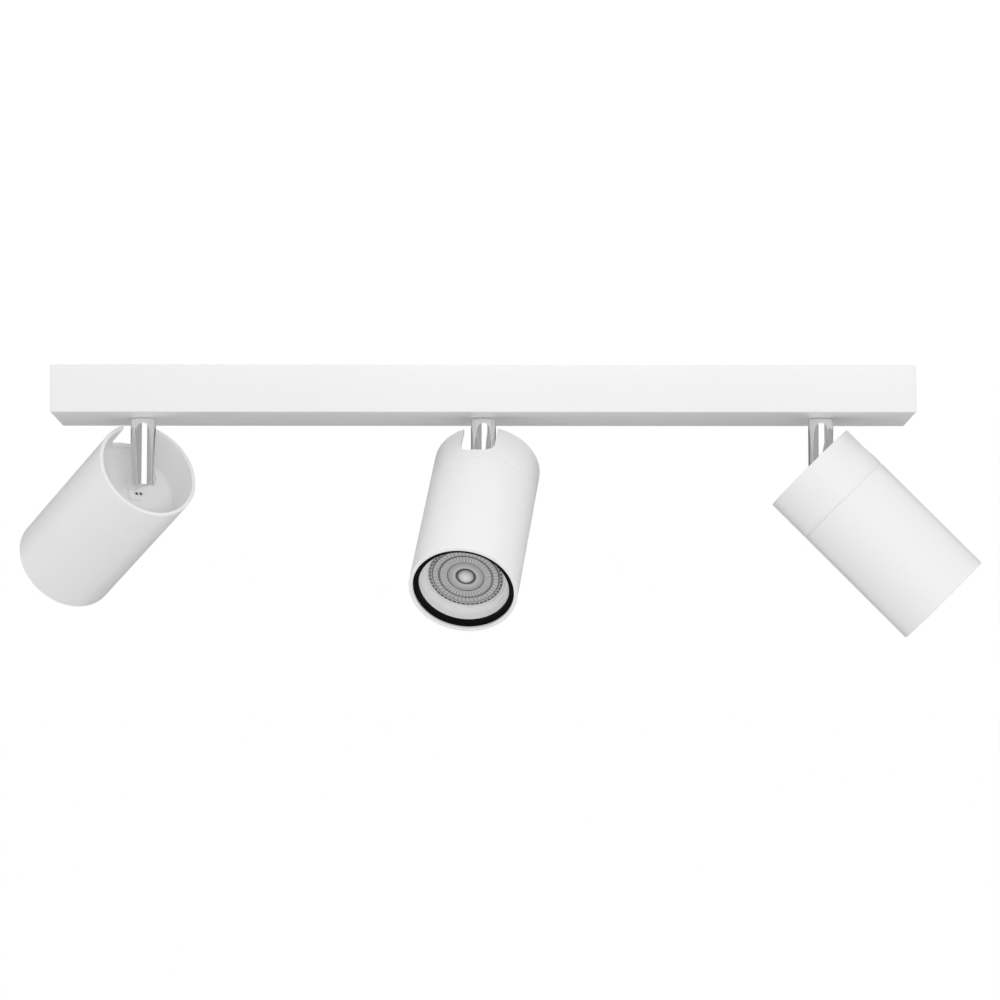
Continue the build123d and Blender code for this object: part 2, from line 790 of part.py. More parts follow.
keep("bar_housing", bar_housing())
keep("mounting_bracket", mounting_bracket())
keep("bar_end_screws", end_screws())
keep("cable_grommet", cable_grommet())
keep("terminal_block", terminal_block())
keep("terminal_clamp_screws", clamp_screws())
keep("terminal_fixing_screws", terminal_screws())
keep("earth_screw", earth_screw())
keep("earth_lead", earth_lead())
keep("leads_left", stem_leads(heads["left"], lead_radius + lead_gap / 2, -1))
keep("leads_middle", stem_leads(heads["middle"], -lead_radius - lead_gap / 2, -1))
keep("leads_right", stem_leads(heads["right"], 0, 1))

stem_pieces = {
    "stem": stem(),
    "stem_washer": stem_washer(),
    "stem_nut": stem_nut(),
    "pivot_screw": pivot_screw(),
}
pivot_pieces = {
    "swivel_bracket": swivel_bracket(),
    "foot_screws": foot_screws(),
}
head_pieces = {
    "rear_cup": rear_cup(),
    "front_tube": front_tube(),
    "lampholder": lampholder(),
    "holder_screws": holder_screws(),
    "lamp_body": lamp_body(),
    "lamp_pins": lamp_pins(),
    "lamp_lens": lamp_lens(),
    "lamp_collar": lamp_collar(),
    "glare_ring": glare_ring(),
}


def placed(shape, head, put):
    """Places one piece, or each piece of a group."""
    return [put(one, head) for one in shape] if isinstance(shape, list) else put(shape, head)


for side, head in heads.items():
    keep(f"stem_bush_{side}", stem_bush(head))
    for piece, shape in stem_pieces.items():
        keep(f"{piece}_{side}", placed(shape, head, on_stem))
    for piece, shape in pivot_pieces.items():
        keep(f"{piece}_{side}", placed(shape, head, on_pivot))
    for piece, shape in head_pieces.items():
        keep(f"{piece}_{side}", placed(shape, head, on_head))

os.makedirs("parts", exist_ok=True)
for name, shape in parts.items():
    export_step(shape, f"parts/{name}.step")
print(len(parts), "sub-parts written")
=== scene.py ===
"""Ceiling spotlight bar with three adjustable heads: looks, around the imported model."""

import json
import math

import bpy
from mathutils import Matrix, Vector

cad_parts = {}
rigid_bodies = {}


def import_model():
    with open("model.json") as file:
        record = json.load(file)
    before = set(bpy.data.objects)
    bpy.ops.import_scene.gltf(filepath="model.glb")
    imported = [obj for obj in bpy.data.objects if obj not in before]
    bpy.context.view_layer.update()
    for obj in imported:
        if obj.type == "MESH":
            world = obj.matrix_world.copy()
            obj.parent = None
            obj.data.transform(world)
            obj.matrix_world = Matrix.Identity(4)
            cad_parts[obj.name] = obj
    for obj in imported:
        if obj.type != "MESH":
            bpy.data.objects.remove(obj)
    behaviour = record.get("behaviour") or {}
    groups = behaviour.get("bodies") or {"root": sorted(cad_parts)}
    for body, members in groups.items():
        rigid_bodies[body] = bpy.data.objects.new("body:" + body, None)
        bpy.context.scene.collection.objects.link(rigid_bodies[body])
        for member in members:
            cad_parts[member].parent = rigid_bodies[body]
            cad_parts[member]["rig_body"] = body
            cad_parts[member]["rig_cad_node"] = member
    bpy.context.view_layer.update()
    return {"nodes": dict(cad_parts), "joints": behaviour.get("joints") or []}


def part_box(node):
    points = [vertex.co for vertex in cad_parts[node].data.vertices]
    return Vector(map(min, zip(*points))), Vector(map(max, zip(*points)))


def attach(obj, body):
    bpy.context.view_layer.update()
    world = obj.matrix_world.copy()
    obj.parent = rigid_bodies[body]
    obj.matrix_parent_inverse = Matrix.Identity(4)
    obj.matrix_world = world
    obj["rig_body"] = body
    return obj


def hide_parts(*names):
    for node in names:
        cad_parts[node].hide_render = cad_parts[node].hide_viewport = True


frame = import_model()

MM = 0.001

# ------------------------------------------------------------------ camera
# The fitting is seen from in front and from below its ceiling, square on, from about
# two metres away, with a long lens.
camera_reach = 2.115
camera_drop = 0.297
camera_rise_angle = math.radians(5.90)
camera_turn_angle = math.radians(-0.258)
camera_lens = 133.1
camera_sensor_width = 36
camera_clip = (0.05, 60)
bar_low, bar_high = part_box("bar_housing")


def clear_selection():
    """Leaves edit mode and deselects everything."""
    if bpy.context.mode != "OBJECT":
        bpy.ops.object.mode_set(mode="OBJECT")
    bpy.ops.object.select_all(action="DESELECT")


clear_selection()
bpy.ops.object.camera_add(
    location=(0, bar_low.y - camera_reach, bar_high.z - camera_drop),
    rotation=(math.radians(90) + camera_rise_angle, 0, camera_turn_angle),
)
camera = bpy.context.object
camera.data.lens = camera_lens
camera.data.sensor_width = camera_sensor_width
camera.data.clip_start, camera.data.clip_end = camera_clip
bpy.context.scene.camera = camera
bpy.context.scene.view_settings.view_transform = "Standard"

# ------------------------------------------------------------------ room
# A white ceiling that the bar is fixed to, a pale floor well below, and white all round.
# Ceiling and floor are painted on their inner sides only, so that the fitting shows from
# above and below too. The grey and white cards round it show in its chrome and its gloss.
ceiling_gap = 0.3 * MM
room_size = 9.0
floor_depth = 1.9
ceiling_paint = (0.88, 0.88, 0.88, 1)
floor_paint = (0.56, 0.56, 0.56, 1)
ceiling_glow_seen, ceiling_glow_cast = 0.46, 0.26
floor_glow_seen, floor_glow_cast = 0.60, 0.06
ambient_strength = 0.915
side_card_glow = 0.42
back_card_glow = 0.16
window_glow = 1.2
card_low = 0.01
card_height = 1.3
back_card_drop = 1.1
lamp_target = (0, 0, -0.06)
white_bounces = 10


def feed(tree, value, socket):
    """Gives a socket its value: what another socket puts out, or a plain number or colour."""
    if isinstance(value, bpy.types.NodeSocket):
        tree.links.new(value, socket)
    else:
        socket.default_value = value


def worked_out(tree, operation, *values, clamp=False):
    """Output of one step of arithmetic on sockets or numbers."""
    step = tree.nodes.new("ShaderNodeMath")
    step.operation, step.use_clamp = operation, clamp
    for value, socket in zip(values, step.inputs):
        feed(tree, value, socket)
    return step.outputs[0]


def ranged(tree, share, low, high):
    """Output that runs from a low to a high number as a share runs from 0 to 1."""
    spread = tree.nodes.new("ShaderNodeMapRange")
    spread.inputs["To Min"].default_value = low
    spread.inputs["To Max"].default_value = high
    tree.links.new(share, spread.inputs["Value"])
    return spread.outputs["Result"]


def stage_material(name, paint_color, glow_seen, glow_cast):
    """Paint that shines a little, more where it is seen directly. It is clear from its back and in
    reflections."""
    material = bpy.data.materials.new(name)
    material.use_nodes = True
    tree = material.node_tree
    tree.nodes.clear()
    path = tree.nodes.new("ShaderNodeLightPath")
    geometry = tree.nodes.new("ShaderNodeNewGeometry")
    paint = tree.nodes.new("ShaderNodeBsdfDiffuse")
    paint.inputs["Color"].default_value = paint_color
    light = tree.nodes.new("ShaderNodeEmission")
    glow = ranged(tree, path.outputs["Is Camera Ray"], glow_cast, glow_seen)
    tree.links.new(glow, light.inputs["Strength"])
    lit = tree.nodes.new("ShaderNodeAddShader")
    tree.links.new(paint.outputs[0], lit.inputs[0])
    tree.links.new(light.outputs[0], lit.inputs[1])
    clear = tree.nodes.new("ShaderNodeBsdfTransparent")
    from_back, mirrored = geometry.outputs["Backfacing"], path.outputs["Is Glossy Ray"]
    unseen = worked_out(tree, "MAXIMUM", from_back, mirrored)
    sided = tree.nodes.new("ShaderNodeMixShader")
    tree.links.new(unseen, sided.inputs["Fac"])
    tree.links.new(lit.outputs[0], sided.inputs[1])
    tree.links.new(clear.outputs[0], sided.inputs[2])
    out = tree.nodes.new("ShaderNodeOutputMaterial")
    tree.links.new(sided.outputs[0], out.inputs["Surface"])
    return material


def stage_plane(name, place, turn, width, height, material):
    """A flat piece of the room."""
    clear_selection()
    bpy.ops.mesh.primitive_plane_add(size=1, location=place, rotation=turn)
    plane = bpy.context.object
    plane.scale = (width, height, 1)
    plane.name = name
    plane.data.materials.append(material)
    return plane


ceiling_white = stage_material(
    "stage_ceiling_white", ceiling_paint, ceiling_glow_seen, ceiling_glow_cast
)
floor_pale = stage_material("stage_floor_pale", floor_paint, floor_glow_seen, floor_glow_cast)
ceiling_place = (0, 0, bar_high.z + ceiling_gap)
stage_plane("stage_ceiling", ceiling_place, (math.pi, 0, 0), room_size, room_size, ceiling_white)
stage_plane("stage_floor", (0, 0, -floor_depth), (0, 0, 0), room_size, room_size, floor_pale)


def stage_glow(name, strength):
    """An evenly lit surface that lights nothing."""
    material = bpy.data.materials.new(name)
    material.use_nodes = True
    tree = material.node_tree
    tree.nodes.clear()
    light = tree.nodes.new("ShaderNodeEmission")
    light.inputs["Strength"].default_value = strength
    out = tree.nodes.new("ShaderNodeOutputMaterial")
    tree.links.new(light.outputs[0], out.inputs["Surface"])
    material.cycles.emission_sampling = "NONE"
    return material


def stage_card(name, start, end, material, low=card_low, height=card_height):
    """An upright card between two points of the plan, which only reflections see."""
    run = Vector(end) - Vector(start)
    middle = (Vector(start) + Vector(end)) / 2
    turn = (math.radians(90), 0, math.atan2(run.y, run.x))
    place = (middle.x, middle.y, low + height / 2)
    card = stage_plane(name, place, turn, run.length, height, material)
    card.visible_camera = card.visible_diffuse = card.visible_shadow = False


gray_card = stage_glow("stage_gray_card", side_card_glow)
dark_card = stage_glow("stage_dark_card", back_card_glow)
white_card = stage_glow("stage_white_card", window_glow)
back_card_height = back_card_drop + card_height
stage_card("stage_card_back", (-1.6, 1.4), (1.6, 1.4), dark_card, -back_card_drop, back_card_height)
stage_card("stage_card_left", (-1.5, 1.5), (-1.5, -0.05), gray_card)
stage_card("stage_card_front_left", (-1.5, -0.20), (-0.35, -1.18), gray_card)
stage_card("stage_card_window", (-0.35, -1.19), (0.84, -1.19), white_card)
stage_card("stage_card_front_right", (1.5, -0.75), (0.84, -1.18), gray_card)
stage_card("stage_card_right", (1.5, 1.5), (1.5, -0.7), gray_card)


def room_light():
    """White all round: full where it is seen or mirrored, and a little less as light."""
    world = bpy.data.worlds.new("room_light")
    world.use_nodes = True
    tree = world.node_tree
    tree.nodes.clear()
    path = tree.nodes.new("ShaderNodeLightPath")
    seen = worked_out(tree, "MAXIMUM", path.outputs["Is Camera Ray"], path.outputs["Is Glossy Ray"])
    seen = worked_out(tree, "MAXIMUM", seen, path.outputs["Is Transmission Ray"])
    light = tree.nodes.new("ShaderNodeBackground")
    light.inputs["Color"].default_value = (1, 1, 1, 1)
    tree.links.new(ranged(tree, seen, ambient_strength, 1.0), light.inputs["Strength"])
    out = tree.nodes.new("ShaderNodeOutputWorld")
    tree.links.new(light.outputs[0], out.inputs["Surface"])
    return world


def soft_lamp(name, place, width, height, power):
    """A rectangular softbox at a place, facing the fitting."""
    aim = (Vector(lamp_target) - Vector(place)).to_track_quat("-Z", "Y").to_euler()
    bpy.ops.object.light_add(type="AREA", location=place, rotation=aim)
    lamp = bpy.context.object
    lamp.name = name
    lamp.data.shape = "RECTANGLE"
    lamp.data.size, lamp.data.size_y = width, height
    lamp.data.energy = power
    lamp.visible_camera = lamp.visible_glossy = False


bpy.context.scene.world = room_light()
bpy.context.scene.cycles.diffuse_bounces = white_bounces
soft_lamp("key_front", (0.1, -2.6, -0.36), width=0.8, height=0.4, power=7)
soft_lamp("key_right", (0.88, -2.41, -0.45), width=0.6, height=0.3, power=5.5)

# ------------------------------------------------------------------ bar housing
# Folded steel channel, one millimetre thick, closed at both ends and open towards the
# ceiling. It is bent, welded and ground at the corners, then powder coated white.
sheet_thickness = 1.0 * MM
fold_radius = 1.0 * MM
fold_steps = 4
stem_hole_radius = 6.1 * MM
bar_screw_hole_radius = 2.2 * MM
bar_screw_z = sum(corner.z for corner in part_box("bar_end_screws")) / 2
hole_cutter_length = 6 * sheet_thickness
merge_distance = 1e-6
match_distance = 1e-5
level_enough = 0.9
smooth_angle = math.radians(32)
relief_depth = 0.1 * MM
peel_detail, peel_roughness = 3.0, 0.55
drift_scale, drift_detail = 14.0, 2.0
paint_white = (0.90, 0.90, 0.90, 1)
sides = ("left", "middle", "right")
joints = {joint["name"]: joint for joint in frame["joints"]}
stem_places = {side: Vector(joints[f"pan_{side}"]["pos_m"]) for side in sides}


def activate(piece):
    """Selects one piece alone, in object mode."""
    clear_selection()
    piece.select_set(True)
    bpy.context.view_layer.objects.active = piece


def pick(piece, kind, test):
    """Selects, in edit mode, faces by their middle and normal, or edges by their two ends."""
    activate(piece)
    bpy.ops.object.mode_set(mode="EDIT")
    bpy.ops.mesh.select_mode(type=kind)
    bpy.ops.mesh.select_all(action="DESELECT")
    bpy.ops.object.mode_set(mode="OBJECT")
    corners = piece.data.vertices
    if kind == "FACE":
        for face in piece.data.polygons:
            face.select = test(face.center, face.normal)
    else:
        for edge in piece.data.edges:
            first, second = (corners[index].co for index in edge.vertices)
            edge.select = test(first, second)
    bpy.ops.object.mode_set(mode="EDIT")


def settle(piece):
    """Leaves edit mode and moves the piece's place, turn and size into its mesh."""
    activate(piece)
    bpy.ops.object.transform_apply(location=True, rotation=True, scale=True)
    return piece


def finish_with(piece, kind, **settings):
    """Adds one modifier with its settings, and applies it."""
    activate(piece)
    modifier = piece.modifiers.new(kind.lower(), kind)
    for setting, value in settings.items():
        setattr(modifier, setting, value)
    bpy.ops.object.modifier_apply(modifier=modifier.name)


def cut(piece, cutter):
    """Takes the cutter's space out of the piece, and the cutter away."""
    finish_with(piece, "BOOLEAN", object=cutter, operation="DIFFERENCE", solver="EXACT")
    bpy.data.objects.remove(cutter)


def rod(radius, length, place, turn=(0, 0, 0), segments=96):
    """A plain round cutter."""
    clear_selection()
    bpy.ops.mesh.primitive_cylinder_add(
        vertices=segments, radius=radius, depth=length, location=place, rotation=turn
    )
    return settle(bpy.context.object)


def tidy_faces(piece):
    """Merges doubled points, points faces outwards and smooths all but the sharp edges."""
    activate(piece)
    bpy.ops.object.mode_set(mode="EDIT")
    bpy.ops.mesh.select_all(action="SELECT")
    bpy.ops.mesh.remove_doubles(threshold=merge_distance)
    bpy.ops.mesh.normals_make_consistent(inside=False)
    bpy.ops.object.mode_set(mode="OBJECT")
    bpy.ops.object.shade_smooth_by_angle(angle=smooth_angle)


def noise(tree, place, scale, detail, roughness=0.5):
    """Output of a noise texture."""
    texture = tree.nodes.new("ShaderNodeTexNoise")
    texture.inputs["Detail"].default_value = detail
    texture.inputs["Roughness"].default_value = roughness
    feed(tree, scale, texture.inputs["Scale"])
    tree.links.new(place, texture.inputs["Vector"])
    return texture.outputs["Fac"]


def bumped(tree, height, strength):
    """Normal of a shallow relief."""
    bump = tree.nodes.new("ShaderNodeBump")
    bump.inputs["Distance"].default_value = relief_depth
    tree.links.new(height, bump.inputs["Height"])
    tree.links.new(strength, bump.inputs["Strength"])
    return bump.outputs["Normal"]


def toned(tree, color, level):
    """A colour made lighter or darker by a level of about 1."""
    tone = tree.nodes.new("ShaderNodeHueSaturation")
    tree.links.new(level, tone.inputs["Value"])
    tree.links.new(color, tone.inputs["Color"])
    return tone.outputs["Color"]


def skin_group(name, more_inputs):
    """Shader group that takes and gives colour and roughness, takes more, and gives a normal."""
    group = bpy.data.node_groups.new(name, "ShaderNodeTree")
    shared = (("Color", "Color"), ("Roughness", "Float"))
    all_inputs, all_outputs = (*shared, *more_inputs), (*shared, ("Normal", "Vector"))
    for way, sockets in (("INPUT", all_inputs), ("OUTPUT", all_outputs)):
        for title, kind in sockets:
            group.interface.new_socket(title, in_out=way, socket_type=f"NodeSocket{kind}")
    given, made = group.nodes.new("NodeGroupInput"), group.nodes.new("NodeGroupOutput")
    place = group.nodes.new("ShaderNodeTexCoord").outputs["Object"]
    return group, given.outputs, made.inputs, place


def coating_group():
    """Shader group for a sprayed or moulded skin: fine peel, and slow drifts of tone and gloss."""
    group, given, made, place = skin_group(
        "coating", (("Peel Scale", "Float"), ("Peel Height", "Float"), ("Tone Drift", "Float"))
    )
    peel = noise(group, place, given["Peel Scale"], peel_detail, peel_roughness)
    drift = noise(group, place, drift_scale, drift_detail)
    centred = worked_out(group, "SUBTRACT", drift, 0.5)
    swing = worked_out(group, "MULTIPLY", centred, given["Tone Drift"])
    tone = toned(group, given["Color"], worked_out(group, "ADD", swing, 1.0))
    gloss = worked_out(group, "ADD", swing, given["Roughness"], clamp=True)
    group.links.new(tone, made["Color"])
    group.links.new(gloss, made["Roughness"])
    group.links.new(bumped(group, peel, given["Peel Height"]), made["Normal"])
    return group


def skinned(name, group, values):
    """Material whose colour, roughness and normal come from a shader group, and its shader."""
    material = bpy.data.materials.new(name)
    material.use_nodes = True
    tree = material.node_tree
    surface = tree.nodes["Principled BSDF"]
    skin = tree.nodes.new("ShaderNodeGroup")
    skin.node_tree = group
    for title, value in values.items():
        skin.inputs[title].default_value = value
    for made, wanted in (("Color", "Base Color"), ("Roughness", "Roughness"), ("Normal", "Normal")):
        tree.links.new(skin.outputs[made], surface.inputs[wanted])
    return material, surface


coating = coating_group()


def coated(name, color, roughness, peel_scale, peel_height, tone_drift, **shader):
    """Material of the coating group, with any other settings of its shader."""
    material, surface = skinned(name, coating, {
        "Color": color, "Roughness": roughness,
        "Peel Scale": peel_scale, "Peel Height": peel_height, "Tone Drift": tone_drift,
    })
    for socket, value in shader.items():
        surface.inputs[socket.replace("_", " ")].default_value = value
    return material


def finish_piece(piece, name, material, slot, body, *nodes):
    """Names a piece, gives it its material, and sets it on its body in place of CAD nodes."""
    activate(piece)
    piece.name = piece.data.name = name
    piece.data.materials.clear()
    piece.data.materials.append(material)
    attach(piece, body)
    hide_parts(*nodes)


white_coat = coated(
    "white_powder_coat", paint_white,
    roughness=0.34, peel_scale=1100.0, peel_height=0.15, tone_drift=0.03,
)
clear_selection()
bar_middle, bar_size = (bar_low + bar_high) / 2, bar_high - bar_low
bpy.ops.mesh.primitive_cube_add(size=1, location=bar_middle, scale=bar_size)
housing = settle(bpy.context.object)
pick(housing, "FACE", lambda middle, normal: normal.z > level_enough)
bpy.ops.mesh.delete(type="ONLY_FACE")
pick(housing, "EDGE", lambda a, b: min(a.z, b.z) < bar_high.z - MM)
bpy.ops.mesh.bevel(offset=fold_radius, segments=fold_steps, affect="EDGES")
finish_with(housing, "SOLIDIFY", thickness=sheet_thickness, offset=-1, use_even_offset=True)
for side in sides:
    cut(housing, rod(stem_hole_radius, hole_cutter_length, (stem_places[side].x, 0, bar_low.z)))
lying = (0, math.radians(90), 0)
for end in (bar_low.x, bar_high.x):
    cut(housing, rod(bar_screw_hole_radius, hole_cutter_length, (end, 0, bar_screw_z), lying))
tidy_faces(housing)
finish_piece(housing, "bar_channel", white_coat, "white_paint", "bar", "bar_housing")

# ------------------------------------------------------------------ ceiling bracket
# Steel strip punched with two slots, a cable hole and small screw holes, its ends turned
# down. Bright zinc plate, with the soft grain of rolled strip along its length.
punched_edge = 0.15 * MM
zinc_color = (0.60, 0.61, 0.62, 1)
zinc_grain = (30, 900, 900)
streak_detail = 4.0
streak_tones = (0.92, 1.08)
flat_angle = math.radians(0.5)
sharp_angle = math.radians(45)


def drawn_metal_group():
    """Shader group for drawn, rolled or turned metal: streaks along one axis, and fine pits."""
    group, given, made, place = skin_group(
        "drawn_metal", (("Streak Stretch", "Vector"), ("Streak Height", "Float"))
    )
    stretch = group.nodes.new("ShaderNodeVectorMath")
    stretch.operation = "MULTIPLY"
    group.links.new(place, stretch.inputs[0])
    group.links.new(given["Streak Stretch"], stretch.inputs[1])
    streak = noise(group, stretch.outputs[0], 1.0, streak_detail)
    level = ranged(group, streak, *streak_tones)
    gloss = worked_out(group, "MULTIPLY", level, given["Roughness"], clamp=True)
    group.links.new(toned(group, given["Color"], level), made["Color"])
    group.links.new(gloss, made["Roughness"])
    group.links.new(bumped(group, streak, given["Streak Height"]), made["Normal"])
    return group


drawn_metal = drawn_metal_group()


def bare_metal(name, color, roughness, stretch, streak_height):
    """Metal of the drawn metal group."""
    material, surface = skinned(name, drawn_metal, {
        "Color": color, "Roughness": roughness,
        "Streak Stretch": stretch, "Streak Height": streak_height,
    })
    surface.inputs["Metallic"].default_value = 1.0
    return material


def from_cad(node, edge, edge_steps=2, smooth_to=smooth_angle):
    """A merged copy of a CAD node, its flat faces made whole and its sharp edges eased."""
    source = frame["nodes"][node]
    piece = source.copy()
    piece.data = source.data.copy()
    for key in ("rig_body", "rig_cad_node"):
        del piece[key]
    piece.parent = None
    bpy.context.scene.collection.objects.link(piece)
    activate(piece)
    bpy.ops.mesh.customdata_custom_splitnormals_clear()
    bpy.ops.object.mode_set(mode="EDIT")
    bpy.ops.mesh.select_all(action="SELECT")
    bpy.ops.mesh.remove_doubles(threshold=merge_distance)
    bpy.ops.mesh.dissolve_limited(angle_limit=flat_angle)
    bpy.ops.object.mode_set(mode="OBJECT")
    if edge:
        finish_with(
            piece, "BEVEL", width=edge, segments=edge_steps, limit_method="ANGLE",
            angle_limit=sharp_angle, use_clamp_overlap=True,
        )
    activate(piece)
    bpy.ops.object.shade_smooth_by_angle(angle=smooth_to)
    return piece


def dress(node, name, material, slot, body, edge, *shaping):
    """Finishes a CAD node's own copy, with its edges eased."""
    finish_piece(from_cad(node, edge, *shaping), name, material, slot, body, node)


zinc_plate = bare_metal(
    "bright_zinc_plate", zinc_color, roughness=0.34, stretch=zinc_grain, streak_height=0.15,
)
dress("mounting_bracket", "ceiling_strip", zinc_plate, "zinc_steel", "bar", punched_edge)

# ------------------------------------------------------------------ bar end screws
# Round-headed cross-recess screws, nickel plated, one in each short end of the bar.
screw_edge = 0.06 * MM
nickel_color = (0.64, 0.64, 0.65, 1)
nickel_grain = (700, 700, 700)

nickel_plate = bare_metal(
    "nickel_plate", nickel_color, roughness=0.26, stretch=nickel_grain, streak_height=0.08,
)
dress("bar_end_screws", "end_screw_pair", nickel_plate, "screw_steel", "bar", screw_edge)

# ------------------------------------------------------------------ cable bush
# Soft black bush pressed into the bracket's hole, so that the supply cable meets no edge.
bush_black = (0.035, 0.035, 0.036, 1)
bush_edge, bush_edge_steps = 0.25 * MM, 3

soft_black = coated(
    "soft_black_rubber", bush_black,
    roughness=0.72, peel_scale=1400.0, peel_height=0.5, tone_drift=0.12,
)
dress(
    "cable_grommet", "cable_bush", soft_black, "grommet_rubber", "bar", bush_edge, bush_edge_steps
)

# ------------------------------------------------------------------ terminal block
# Three-pole block of natural polyamide under the bracket, with brass clamp screws and
# two plated fixing screws.
polyamide_color = (0.80, 0.79, 0.74, 1)
brass_color = (0.72, 0.50, 0.22, 1)
brass_grain = (900, 900, 900)
block_edge = 0.3 * MM

polyamide = coated(
    "natural_polyamide", polyamide_color,
    roughness=0.45, peel_scale=500.0, peel_height=0.2, tone_drift=0.05,
    Subsurface_Weight=0.15,
)
brass = bare_metal(
    "bare_brass", brass_color, roughness=0.30, stretch=brass_grain, streak_height=0.1,
)
dress("terminal_block", "connection_block", polyamide, "terminal_plastic", "bar", block_edge)
dress("terminal_clamp_screws", "clamp_screw_set", brass, "brass", "bar", screw_edge)
dress("terminal_fixing_screws", "block_screw_pair", nickel_plate, "screw_steel", "bar", screw_edge)

# ------------------------------------------------------------------ earth screw and wiring
# The earth lead is sleeved green with a yellow stripe and ends in a ring tag under its
# screw. The live and neutral leads of each head wear white silicone sleeves.
earth_green = (0.02, 0.22, 0.03, 1)
earth_yellow = (0.80, 0.62, 0.02, 1)
sleeve_white = (0.80, 0.79, 0.76, 1)
stripe_half_width = 0.35 * MM
sleeve_easing = (0, 0, math.radians(50))


def color_mix(tree, share, low_color, high_color):
    """Colour that runs from one to another as a share runs from 0 to 1."""
    mix = tree.nodes.new("ShaderNodeMix")
    mix.data_type = "RGBA"
    low_socket, high_socket = (socket for socket in mix.inputs if socket.type == "RGBA")
    low_socket.default_value, high_socket.default_value = low_color, high_color
    tree.links.new(share, mix.inputs[0])
    return next(socket for socket in mix.outputs if socket.type == "RGBA")


def striped_sleeve():
    """Green sleeve with a yellow band along the run of the lead."""
    material = coated(
        "green_yellow_sleeve", earth_green,
        roughness=0.40, peel_scale=600.0, peel_height=0.1, tone_drift=0.03,
    )
    tree = material.node_tree
    place = tree.nodes.new("ShaderNodeTexCoord")
    parts = tree.nodes.new("ShaderNodeSeparateXYZ")
    tree.links.new(place.outputs["Object"], parts.inputs[0])
    aside = worked_out(tree, "ABSOLUTE", parts.outputs["Y"])
    band = worked_out(tree, "LESS_THAN", aside, stripe_half_width)
    stripe = color_mix(tree, band, earth_green, earth_yellow)
    tree.links.new(stripe, tree.nodes["Principled BSDF"].inputs["Base Color"])
    return material


green_yellow = striped_sleeve()
white_sleeve = coated(
    "white_silicone_sleeve", sleeve_white,
    roughness=0.50, peel_scale=700.0, peel_height=0.25, tone_drift=0.05,
)
dress("earth_screw", "earth_bolt", nickel_plate, "screw_steel", "bar", screw_edge)
dress("earth_lead", "earth_run", green_yellow, "earth_insulation", "bar", *sleeve_easing)
for side in sides:
    lead_name = f"lead_pair_{side}"
    dress(f"leads_{side}", lead_name, white_sleeve, "lead_insulation", "bar", *sleeve_easing)

# ------------------------------------------------------------------ stem bushes
# Flanged nylon bushes that the stems turn in, each with the small lug that stops the turn.
nylon_color = (0.82, 0.82, 0.79, 1)
nylon_edge = 0.15 * MM

nylon = coated(
    "natural_nylon", nylon_color,
    roughness=0.48, peel_scale=800.0, peel_height=0.15, tone_drift=0.04,
    Subsurface_Weight=0.1,
)
for side in sides:
    dress(f"stem_bush_{side}", f"stem_bearing_{side}", nylon, "bush_nylon", "bar", nylon_edge)

# ------------------------------------------------------------------ stems
# Turned from bar and chrome plated: a spigot that passes through the bar, a round column,
# and a slotted end that takes the head's tongue, with a recess for the pivot screw.
chrome_color = (0.83, 0.835, 0.84, 1)
haze_scale, haze_detail = 60.0, 3.0
haze_roughness = (0.04, 0.10)
stem_segments = 192
stem_wall_edge = 0.4 * MM
column_radius = 7.3 * MM
column_top_z = bar_low.z - 0.1 * MM
spigot_radius = 5.0 * MM
wire_bore_radius = 3.0 * MM
slot_half_width = 1.6 * MM
slot_end_radius = 5.3 * MM
pivot_z = joints["tilt_left"]["pos_m"][2]
pivot_bore_radius = 1.55 * MM
pivot_bore_end = 5.4 * MM
pivot_bore_segments = 48
pivot_recess_radius = 2.8 * MM
pivot_recess_seat = 5.1 * MM
pivot_recess_segments = 64
cutter_reach = 12.0 * MM


def aim_of(side):
    """Compass direction of a head about +Z, from its tilt axis."""
    axis = joints[f"tilt_{side}"]["axis"]
    return math.atan2(axis[0], -axis[1])


def stem_place(side):
    """From the stem's own frame, aimed along +X at the ceiling's height, to its place at rest."""
    turn = Matrix.Rotation(aim_of(side), 4, "Z")
    return Matrix.Translation((stem_places[side].x, 0, 0)) @ turn


def own_box(node, place):
    """A CAD node's lowest and highest corner in the frame that the place matrix starts from."""
    back = place.inverted()
    points = [back @ point.co for point in frame["nodes"][node].data.vertices]
    low = Vector(min(point[axis] for point in points) for axis in range(3))
    high = Vector(max(point[axis] for point in points) for axis in range(3))
    return low, high


def turned(name, outline, segments):
    """A closed outline of (radius, height) drawn out round Z, ring by ring, from its start."""
    clear_selection()
    radius, height = outline[0]
    bpy.ops.mesh.primitive_circle_add(vertices=segments, radius=radius, location=(0, 0, height))
    piece = settle(bpy.context.object)
    piece.name = name
    bpy.ops.object.mode_set(mode="EDIT")
    bpy.ops.mesh.select_mode(type="VERT")
    bpy.ops.mesh.select_all(action="SELECT")
    for new_radius, new_height in outline[1:]:
        bpy.ops.mesh.extrude_region_move(
            TRANSFORM_OT_translate={"value": (0, 0, new_height - height)}
        )
        share = new_radius / radius
        bpy.ops.transform.resize(value=(share, share, 1), center_override=(0, 0, new_height))
        radius, height = new_radius, new_height
    bpy.ops.object.mode_set(mode="OBJECT")
    tidy_faces(piece)
    return piece


def box_cutter(low, high):
    """A plain cutter between two corners."""
    clear_selection()
    low, high = Vector(low), Vector(high)
    bpy.ops.mesh.primitive_cube_add(size=1, location=(low + high) / 2, scale=high - low)
    return settle(bpy.context.object)


def put_copy(side, template, name, material, slot, body, node, place):
    """Puts a finished copy of a template in its place on one side's body."""
    piece = template.copy()
    piece.data = template.data.copy()
    bpy.context.scene.collection.objects.link(piece)
    piece.data.transform(place(side))
    finish_piece(piece, f"{name}_{side}", material, slot, f"{body}_{side}", f"{node}_{side}")


